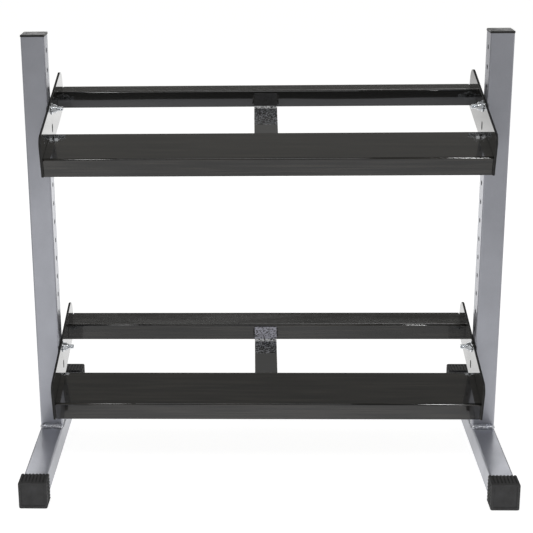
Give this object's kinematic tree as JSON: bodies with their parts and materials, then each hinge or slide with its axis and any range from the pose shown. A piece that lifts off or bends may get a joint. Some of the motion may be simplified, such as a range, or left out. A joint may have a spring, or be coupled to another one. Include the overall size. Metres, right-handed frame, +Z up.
{
  "type": "dumbbell rack",
  "caption": "Free-standing two-tier dumbbell rack: silver square-tube end frames on rubber-booted feet carry two tilted black steel shelves with open middles.",
  "frame": {"origin": "on the floor, under the centre of the two feet", "axes": "+X along the shelves, +Y to the rear, +Z up"},
  "size_m": [1.038, 0.64, 0.95],
  "materials": {
    "silver_paint": "semi-gloss metallic silver powder coat",
    "black_gloss_paint": "gloss black powder coat",
    "weld_bead": "rippled weld bead under thin bright silver paint",
    "black_rubber": "moulded black rubber with fine ribs",
    "black_plastic": "moulded black plastic",
    "zinc_plate": "bright zinc plate",
    "nylon": "white nylon"
  },
  "bodies": {
    "frame": {"left_upright": "silver_paint", "left_foot_tube": "silver_paint", "left_upright_weld": "weld_bead", "left_upright_cap": "black_plastic", "left_front_boot": "black_rubber", "left_rear_boot": "black_rubber", "right_upright": "silver_paint", "right_foot_tube": "silver_paint", "right_upright_weld": "weld_bead", "right_upright_cap": "black_plastic", "right_front_boot": "black_rubber", "right_rear_boot": "black_rubber", "upper_left_bolt": "zinc_plate", "upper_left_washer": "zinc_plate", "upper_left_nut": "zinc_plate", "upper_left_nut_insert": "nylon", "upper_right_bolt": "zinc_plate", "upper_right_washer": "zinc_plate", "upper_right_nut": "zinc_plate", "upper_right_nut_insert": "nylon", "lower_left_bolt": "zinc_plate", "lower_left_washer": "zinc_plate", "lower_left_nut": "zinc_plate", "lower_left_nut_insert": "nylon", "lower_right_bolt": "zinc_plate", "lower_right_washer": "zinc_plate", "lower_right_nut": "zinc_plate", "lower_right_nut_insert": "nylon"},
    "upper_shelf": {"upper_left_end_plate": "black_gloss_paint", "upper_right_end_plate": "black_gloss_paint", "upper_front_rail": "black_gloss_paint", "upper_rear_rail": "black_gloss_paint", "upper_centre_brace": "black_gloss_paint", "upper_shelf_welds": "black_gloss_paint"},
    "lower_shelf": {"lower_left_end_plate": "black_gloss_paint", "lower_right_end_plate": "black_gloss_paint", "lower_front_rail": "black_gloss_paint", "lower_rear_rail": "black_gloss_paint", "lower_centre_brace": "black_gloss_paint", "lower_shelf_welds": "black_gloss_paint"}
  },
  "joints": [
    {"name": "upper_shelf_tilt", "type": "hinge", "parent": "frame", "child": "upper_shelf", "pos_m": [0, -0.016, 0.7878], "axis": [1, 0, 0], "range_deg": [-15, 10]},
    {"name": "lower_shelf_tilt", "type": "hinge", "parent": "frame", "child": "lower_shelf", "pos_m": [0, -0.016, 0.2418], "axis": [1, 0, 0], "range_deg": [-15, 10]}
  ]
}
